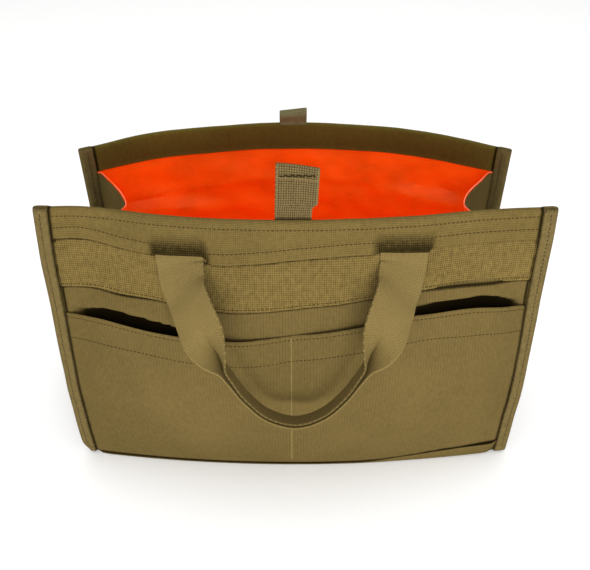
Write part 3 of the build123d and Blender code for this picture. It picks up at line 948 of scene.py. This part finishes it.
def tray(name, outline, profile, material, rim=None):
    """A flat cloth with its edge turned up: profile lists (inset, height) round its cross-section.

    rim, if given, is the height of its top edge at each point of the outline.
    """
    top = max(height for _, height in profile)
    climb = np.ones(len(outline)) if rim is None else rim / top
    outward = np.roll(outline, -1, 0) - np.roll(outline, 1, 0)
    outward = unit(np.stack([outward[:, 1], -outward[:, 0]], -1))
    rings = []
    for inset, height in profile:
        level = height * (1 + (climb - 1) * (height / top) ** 0.5)
        ring = outline - outward * (inset - np.maximum(level - height, 0)[:, None] * RIM_SLANT)
        rings.append(np.concatenate([ring, level[:, None]], 1))
    vertices = np.concatenate(rings)
    count = len(outline)
    faces = []
    for k in range(len(profile) - 1):
        for a in range(count):
            b = (a + 1) % count
            faces.append((k * count + a, k * count + b, (k + 1) * count + b, (k + 1) * count + a))
    faces.append(tuple(range(count))[::-1])
    faces.append(tuple((len(profile) - 1) * count + a for a in range(count)))
    unrolled = vertices[:, 1] + np.sign(vertices[:, 1]) * vertices[:, 2]
    return link_mesh(name, vertices, faces, np.stack([vertices[:, 0], unrolled], -1), material)


def base():
    """The bottom cloth, turned up over the walls' lower edges, the board and the lining tray."""
    end = SHEET_END - GUSSET_FLANGE + 0.0022
    outline = base_outline(0.0048, end)
    bottom = tray("base_cloth", outline, [
        (0.008, 0.0), (0.0032, 0.0001), (0.0014, 0.0007), (0.0003, 0.0019), (0.0, 0.0035), (0.0, 0.0062),
        (0.0004, 0.0068), (0.0010, 0.0068), (0.0013, 0.0062), (0.0013, 0.0036), (0.0016, 0.0024),
        (0.0024, 0.0014), (0.0040, 0.0012), (0.008, 0.0012),
    ], "canvas", rim=base_rim("front", outline[:, 0], outline[:, 1]))
    floor = tray("base_lining_cloth", base_outline(-0.0048, end - 0.0050), [
        (0.010, 0.0037), (0.0040, 0.0038), (0.0012, 0.0050), (0.0, 0.0085), (0.0004, 0.0089), (0.0008, 0.0086),
        (0.0020, 0.0060), (0.0044, 0.0047), (0.010, 0.0045),
    ], "orange_lining")
    for piece, node in ((bottom, "base_shell"), (floor, "base_lining")):
        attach(piece, "base")
        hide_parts(node)
        sewn(piece)
    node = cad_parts["base_board"]
    node.data.materials.clear()
    node.data.materials.append(MATERIALS["stiffener"])


# ---------------------------------------------------------------- webbing

def finer(stations, steps):
    """More stations on a smooth curve through the given ones."""
    known = np.array(stations)
    padded = np.concatenate([[2 * known[0] - known[1]], known, [2 * known[-1] - known[-2]]])
    t = (np.arange(steps) / steps)[:, None]
    runs = []
    for a, b, c, d in zip(padded[:-3], padded[1:-2], padded[2:-1], padded[3:]):
        bend = 2 * a - 5 * b + 4 * c - d
        twist = 3 * b - a - 3 * c + d
        runs.append(0.5 * (2 * b + (c - a) * t + bend * t**2 + twist * t**3))
    return np.concatenate(runs + [known[-1:]])


def handle_frames(wall):
    """Fold line, direction, outward direction and half opening angle along a carry handle."""
    left = [(-x, out, z, opening) for x, out, z, opening in HANDLE_STATIONS[:0:-1]]
    stations = finer(left + HANDLE_STATIONS, 7)
    x, stand_off, z, opening = stations.T
    x = x + (ROOT_X[1] + ROOT_X[-1]) * ease(x, HANDLE_STATIONS[4][0], HANDLE_STATIONS[-1][0])
    stand_off = np.maximum(stand_off, 0.0036)
    line = wall_point(wall, x, stand_off, z)
    direction = unit(np.gradient(line, axis=0))
    square = unit(wall_point(wall, x, stand_off + 0.001, z) - line)
    lift = np.radians(GRIP_LIFT * (1 - np.clip(opening, 0, 90) / 90))[:, None]
    out = square * np.cos(lift) + np.array([0, 0, 1.0]) * np.sin(lift)
    out = unit(out - direction * (out * direction).sum(-1, keepdims=True))
    return line, direction, out, np.radians(np.clip(opening, 2.5, 90))


def handle(wall):
    """Flat webbing at its roots that folds in half lengthwise along the grip."""
    line, direction, out, opening = handle_frames(wall)
    across = np.cross(direction, out)
    half = np.linspace(0, STRAP_WIDTH / 2, 13)
    rim_width = STRAP_FOLD_WIDTH / 2
    slope = (math.pi / 2 - opening)[:, None] * np.minimum(half / rim_width, 1)[None, :]
    step = half[1] - half[0]
    sideways = np.concatenate([np.zeros((len(line), 1)), np.cumsum(np.cos(slope[:, 1:]), 1) * step], 1)
    outward = np.concatenate([np.zeros((len(line), 1)), np.cumsum(np.sin(slope[:, 1:]), 1) * step], 1)
    sideways = np.concatenate([-sideways[:, :0:-1], sideways], 1)[..., None]
    outward = np.concatenate([outward[:, :0:-1], outward], 1)[..., None]
    points = line[:, None] + across[:, None] * sideways + out[:, None] * outward
    run = np.concatenate([[0], np.cumsum(np.linalg.norm(np.diff(line, axis=0), axis=-1))])
    width = np.concatenate([-half[:0:-1], half]) + STRAP_WIDTH / 2
    uv = np.stack(np.broadcast_arrays(width[None, :], run[:, None]), -1)
    piece = thickened(f"{wall}_handle_strap", points, STRAP_THICKNESS, uv, "strap_webbing")
    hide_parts(f"{wall}_handle")
    sewn(piece)
    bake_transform(piece)
    return piece


def ribbon(name, path, width, centre_x, thickness, material, reshape=None):
    """A strap across x that follows a path of (y, z) points. reshape, if given, moves its grid of points."""
    path = np.array(path)
    x = centre_x + np.linspace(-width / 2, width / 2, max(int(width / 0.0025), 4) + 1)
    run = np.concatenate([[0], np.cumsum(np.linalg.norm(np.diff(path, axis=0), axis=-1))])
    points = np.stack(np.broadcast_arrays(x[:, None], path[None, :, 0], path[None, :, 1]), -1) + 0
    if reshape:
        points = reshape(points)
    uv = np.stack(np.broadcast_arrays((x - x[0])[:, None], run[None, :]), -1)
    return thickened(name, points, thickness, uv, material), float(run[-1])


def arc(centre, radius, start, end, steps):
    """Points of (y, z) round a centre, angles in degrees."""
    angle = np.radians(np.linspace(start, end, steps))
    return np.stack([centre[0] + radius * np.cos(angle), centre[1] + radius * np.sin(angle)], -1)


def tab_reshape(points):
    """Leans the tab's free part to the right, droops its right corner and narrows it on the right at its foot."""
    x, z = points[..., 0] - TAB_X, points[..., 2]
    free = np.maximum(z - HEIGHT, 0) / (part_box("closure_tab")[1].z - HEIGHT)
    right = np.clip(x / TAB_WIDTH + 0.5, 0, 1)
    moved = points.copy()
    moved[..., 2] -= 0.0045 * right * free**1.5
    moved[..., 0] += 0.0016 * free - 0.0042 * right * (1 - ease(z, HEIGHT + 0.009, HEIGHT + 0.013))
    moved[..., 1] += 0.0010 * (1 - ease(np.abs(x), 0.004, TAB_WIDTH / 2)) * ease(free, 0.05, 0.5)
    return moved


def closure_tab():
    """Webbing sewn down inside the front rim, standing up, with its end folded over to the front."""
    root_low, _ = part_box("closure_tab_root")
    low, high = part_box("closure_tab")
    y = high.y - STRAP_THICKNESS / 2
    fold = (STRAP_THICKNESS + 0.0003) / 2
    top = high.z - fold - STRAP_THICKNESS / 2
    rising = np.stack([np.full(34, y), np.linspace(root_low.z, top, 34)], -1)
    bend = arc((y - fold, top), fold, 0, 180, 9)[1:]
    falling = np.stack([np.full(5, y - 2 * fold), np.linspace(top, top - 0.0105, 5)], -1)[1:]
    path = np.concatenate([rising, bend, falling])
    path[:, 0] += 0.0006 * ease(path[:, 1], HEIGHT, high.z)
    piece, length = ribbon("closure_tab_strap", path, TAB_WIDTH, TAB_X, STRAP_THICKNESS, "tab_webbing",
                           reshape=tab_reshape)
    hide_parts("closure_tab", "closure_tab_root")
    sewn(piece)
    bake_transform(piece)


def pile_patch(name, node, body, offset):
    """A hook or loop patch with softened corners, standing for its CAD node."""
    low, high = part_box(node)
    x = np.linspace(low.x, high.x, 14)[:, None]
    z = np.linspace(low.z, high.z, 14)[None, :]
    y = offset(x, z)
    middle = np.stack(np.broadcast_arrays(x, y, z), -1) + 0
    uv = middle[..., [0, 2]] - np.array([low.x, low.z])
    piece = thickened(name, middle, 0.0012, uv, "hook_loop")
    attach(piece, body)
    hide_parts(node)
    sewn(piece)


def patches():
    low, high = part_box("closure_hook_patch")
    pile_patch("hook_patch", "closure_hook_patch", "closure_tab", lambda x, z: (low.y + high.y) / 2 + x * 0)

    def on_back(x, z):
        x, z = np.broadcast_arrays(x, z)
        return wall_point("back", x, 0.0042 + root_lift(x, z), z)[..., 1]
    pile_patch("loop_patch", "closure_loop_patch", "back_wall", on_back)


def loop_reshape(points):
    """The loop's left side sags a little."""
    left = np.clip(0.5 - (points[..., 0] + 0.0018) / HANG_LOOP_WIDTH, 0, 1)
    moved = points.copy()
    moved[..., 2] -= 0.0030 * left * ease(points[..., 2], HEIGHT, HEIGHT + 0.012)
    return moved


def hang_loop():
    """A teardrop of webbing whose two legs go down together inside the back rim."""
    low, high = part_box("hang_loop")
    y = (low.y + high.y) / 2
    radius = (high.y - low.y) / 2 - 0.0007
    centre = (y, high.z - radius - 0.0007)
    leg = 0.00085
    foot = HEIGHT - 0.004
    rear = [(y + leg, foot), (y + leg, foot + 0.004), (y + leg * 1.15, low.z + 0.0012)]
    front = [(2 * y - a, b) for a, b in reversed(rear)]
    path = finer(rear + arc(centre, radius, -22, 202, 15).tolist() + front, 3)
    piece, length = ribbon("hang_loop_strap", path, HANG_LOOP_WIDTH, -0.0018, 0.0014, "loop_webbing",
                           reshape=loop_reshape)
    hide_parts("hang_loop")
    sewn(piece)
    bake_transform(piece)


# ---------------------------------------------------------------- stitching

def resample(line, normals, pitch):
    """Evenly spaced points on a line, with their directions and surface normals."""
    run = np.concatenate([[0], np.cumsum(np.linalg.norm(np.diff(line, axis=0), axis=-1))])
    count = max(int(run[-1] / pitch), 1)
    at = (np.arange(count) + 0.5) * run[-1] / count
    place = np.stack([np.interp(at, run, line[:, k]) for k in range(3)], -1)
    ahead = np.stack([np.interp(at + pitch / 4, run, line[:, k]) for k in range(3)], -1)
    normal = unit(np.stack([np.interp(at, run, normals[:, k]) for k in range(3)], -1))
    return place, unit(ahead - place), normal


# A stitch's cross-sections: (place along it, thickness, height), in shares of its length and thread radius.
STITCH_SECTIONS = [(-0.5, 0.45, -0.9), (-0.34, 1.0, 0.0), (0.0, 1.0, 0.45), (0.34, 1.0, 0.0), (0.5, 0.45, -0.9)]
STITCH_SIDES = 5


def stitches(line, normals, pitch=STITCH_PITCH, length=STITCH_LENGTH, radius=THREAD_RADIUS, zigzag=0.0):
    """Vertices of separate stitches along a line; zigzag swings them to either side, in metres."""
    place, direction, normal = resample(line, normals, pitch)
    side = np.cross(normal, direction)
    if zigzag:
        swing = np.where(np.arange(len(place)) % 2, 1.0, -1.0)[:, None]
        direction = unit(direction + side * swing * zigzag / pitch)
        side = np.cross(normal, direction)
    rings = []
    for along, thickness, height in STITCH_SECTIONS:
        centre = place + direction * along * length + normal * height * radius
        for k in range(STITCH_SIDES):
            angle = 2 * math.pi * k / STITCH_SIDES
            rings.append(centre + (side * math.cos(angle) + normal * math.sin(angle)) * radius * thickness)
    return np.stack(rings, 1)


def thread_piece(name, body, rows, material="thread"):
    """One object of many stitches that rides on a body."""
    blocks = np.concatenate(rows)
    sections = len(STITCH_SECTIONS)
    pattern = []
    for s in range(sections - 1):
        for k in range(STITCH_SIDES):
            after = (k + 1) % STITCH_SIDES
            pattern.append([s * STITCH_SIDES + k, (s + 1) * STITCH_SIDES + k,
                            (s + 1) * STITCH_SIDES + after, s * STITCH_SIDES + after])
    size = sections * STITCH_SIDES
    starts = np.arange(len(blocks))[:, None, None] * size
    faces = (starts + np.array(pattern)[None]).reshape(-1, 4).tolist()
    caps = [list(range(STITCH_SIDES)), [size - 1 - k for k in range(STITCH_SIDES)]]
    faces += (starts + np.array(caps)[None]).reshape(-1, STITCH_SIDES).tolist()
    vertices = blocks.reshape(-1, 3)
    piece = link_mesh(name, vertices, faces, vertices[:, [0, 2]], material)
    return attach(piece, body)


def wall_row(wall, layer, along, z, face=1, **style):
    """A row of stitches on a wall layer's outer (1) or inner (-1) face, through the given along and height."""
    inner, outer = layer(wall, along, z)
    surface = outer if face > 0 else inner
    line = wall_point(wall, along, surface, z)
    normals = (wall_point(wall, along, surface + 0.001, z) - line) * face
    return stitches(line, normals, **style)


def across_wall(inset=0.0, start=-1.0, end=1.0):
    reach = SEWN_END - 0.001 - inset
    return np.linspace(start * reach, end * reach, 160)


def wall_stitching(wall):
    """Every visible row on a wall's outer and inner sides."""
    along = across_wall()
    seam_z = np.linspace(0.010, float(lip_height(np.array(POCKET_SEAM_X))) - 0.001, 80)
    seam_x = np.full_like(seam_z, POCKET_SEAM_X)
    rows = [
        wall_row(wall, facing_layer, along, np.full_like(along, HEIGHT - 0.0062)),
        wall_row(wall, facing_layer, along, facing_bottom(along) + 0.0085),
        wall_row(wall, band_layer, along, band_bottom(along) + 0.0024),
        wall_row(wall, pocket_layer, along, lip_height(along) - 0.0026),
        wall_row(wall, pocket_layer, along, lip_height(along) - POCKET_HEM + 0.0012),
        wall_row(wall, plain_layer(INNER_FACING), along, np.full_like(along, INNER_FACING_BOTTOM + 0.002),
                 face=-1),
    ]
    thread_piece(f"{wall}_wall_stitching", f"{wall}_wall", rows, "thread_stitch")
    seam = wall_row(wall, pocket_layer, seam_x, seam_z, zigzag=0.0012, radius=THREAD_RADIUS * 1.3, pitch=0.0022,
                    length=0.0024)
    thread_piece(f"{wall}_pocket_seam", f"{wall}_wall", [seam])
    lining_rows = [
        wall_row(wall, lining_layer, across_wall(0.02), np.full(160, 0.234), face=-1),
        wall_row(wall, lining_layer, across_wall(0.02), 0.2045 + 0.0035 * np.cos(across_wall(0.02) * 22), face=-1,
                 radius=THREAD_RADIUS * 0.8),
    ]
    thread_piece(f"{wall}_lining_stitching", f"{wall}_wall", lining_rows, "thread_orange")


def binding_stitching(wall):
    rows = []
    z = np.linspace(0.010, HEIGHT - 0.003, 90)
    for sign in LEFT_RIGHT.values():
        for leg, face in zip(BINDING_LEGS, (1, -1)):
            offset = leg + face * BINDING_THICKNESS / 2
            along = np.full_like(z, sign * (PANEL_WIDTH / 2 - BINDING_WIDTH * 0.55))
            rows.append(wall_row(wall, plain_layer((offset, offset)), along, z, face=face))
    thread_piece(f"{wall}_binding_stitching", f"{wall}_wall", rows, "thread_dark")


def tab_stitching():
    """The zigzag row that holds the tab's folded end."""
    low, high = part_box("closure_tab")
    y = high.y - 2 * STRAP_THICKNESS - 0.0003
    x = np.linspace(-TAB_WIDTH / 2 + 0.002, TAB_WIDTH / 2 - 0.002, 30) + 0.0018
    line = np.stack([x, np.full_like(x, y + 0.0005), np.full_like(x, high.z - 0.0105)], -1)
    normals = np.tile([0.0, -1.0, 0.0], (len(x), 1))
    row = stitches(line, normals, pitch=0.0024, length=0.0026, radius=THREAD_RADIUS * 1.6, zigzag=0.0016)
    thread_piece("closure_tab_stitching", "closure_tab", [row], "thread_dark")


# ---------------------------------------------------------------- stage

# Soft lamps: (place, target, (width, height), power in watts).
LAMPS = {
    "front_low": ((0.05, -1.35, 0.22), (0, 0, 0.12), (1.2, 0.4), 20.0),
    "front_key": ((0.16, -0.85, 0.52), (0.02, 0, 0.2), (0.45, 0.35), 2.4),
    "top_soft": ((0.0, 0.55, 2.0), (0, 0.5, 0.0), (3.0, 2.4), 22.0),
}
ROOM_LIGHT = 0.80
FLOOR_REACH = 3.0
FLOOR_LINES = 13
EYE = (0.0, -0.538, 0.550)
LOOKS_DOWN = 36.7          # degrees
LENS = 42.16               # millimetres, on a sensor 36 mm wide


def area_light(name, place, target, size, power):
    data = bpy.data.lights.new(name, "AREA")
    data.shape = "RECTANGLE"
    data.size, data.size_y = size
    data.energy = power
    lamp = bpy.data.objects.new(name, data)
    bpy.context.scene.collection.objects.link(lamp)
    lamp.location = place
    lamp.rotation_euler = (Vector(target) - Vector(place)).to_track_quat("-Z", "Y").to_euler()


def studio():
    """White room, pale floor, two lamps in front of the bag and one above it."""
    world = bpy.data.worlds.new("white_room")
    bpy.context.scene.world = world
    world.use_nodes = True
    world.node_tree.nodes["Background"].inputs["Color"].default_value = (1, 1, 1, 1)
    world.node_tree.nodes["Background"].inputs["Strength"].default_value = ROOM_LIGHT
    for name, facts in LAMPS.items():
        area_light(name, *facts)
    mesh = bpy.data.meshes.new("floor")
    step = np.linspace(-FLOOR_REACH, FLOOR_REACH, FLOOR_LINES)
    points = np.array([(x, y, 0.0) for x in step for y in step])
    mesh.from_pydata(points.tolist(), [], grid_quads(FLOOR_LINES, FLOOR_LINES, 0, False))
    mesh.materials.append(pale_floor("studio_paper"))
    floor = bpy.data.objects.new("floor", mesh)
    bpy.context.scene.collection.objects.link(floor)
    view = bpy.context.scene.view_settings
    view.view_transform = "Standard"
    view.look = "None"
    view.exposure = 0.0


def camera():
    """In front of the bag and above it, looking down into its mouth."""
    data = bpy.data.cameras.new("camera")
    data.lens = LENS
    data.sensor_width = 36.0
    eye = bpy.data.objects.new("camera", data)
    bpy.context.scene.collection.objects.link(eye)
    eye.location = EYE
    eye.rotation_euler = (math.radians(90 - LOOKS_DOWN), 0.0, 0.0)
    bpy.context.scene.camera = eye


camera()
studio()
base()
for wall in OUTWARD:
    wall_layers(wall)
    for face in FACING_FACES:
        rim_facing(wall, face)
    for side in LEFT_RIGHT:
        binding(wall, side)
        for layer in GUSSET_LAYERS:
            gusset_half(side, wall, layer)
    handle(wall)
    wall_stitching(wall)
    binding_stitching(wall)
closure_tab()
patches()
hang_loop()
tab_stitching()
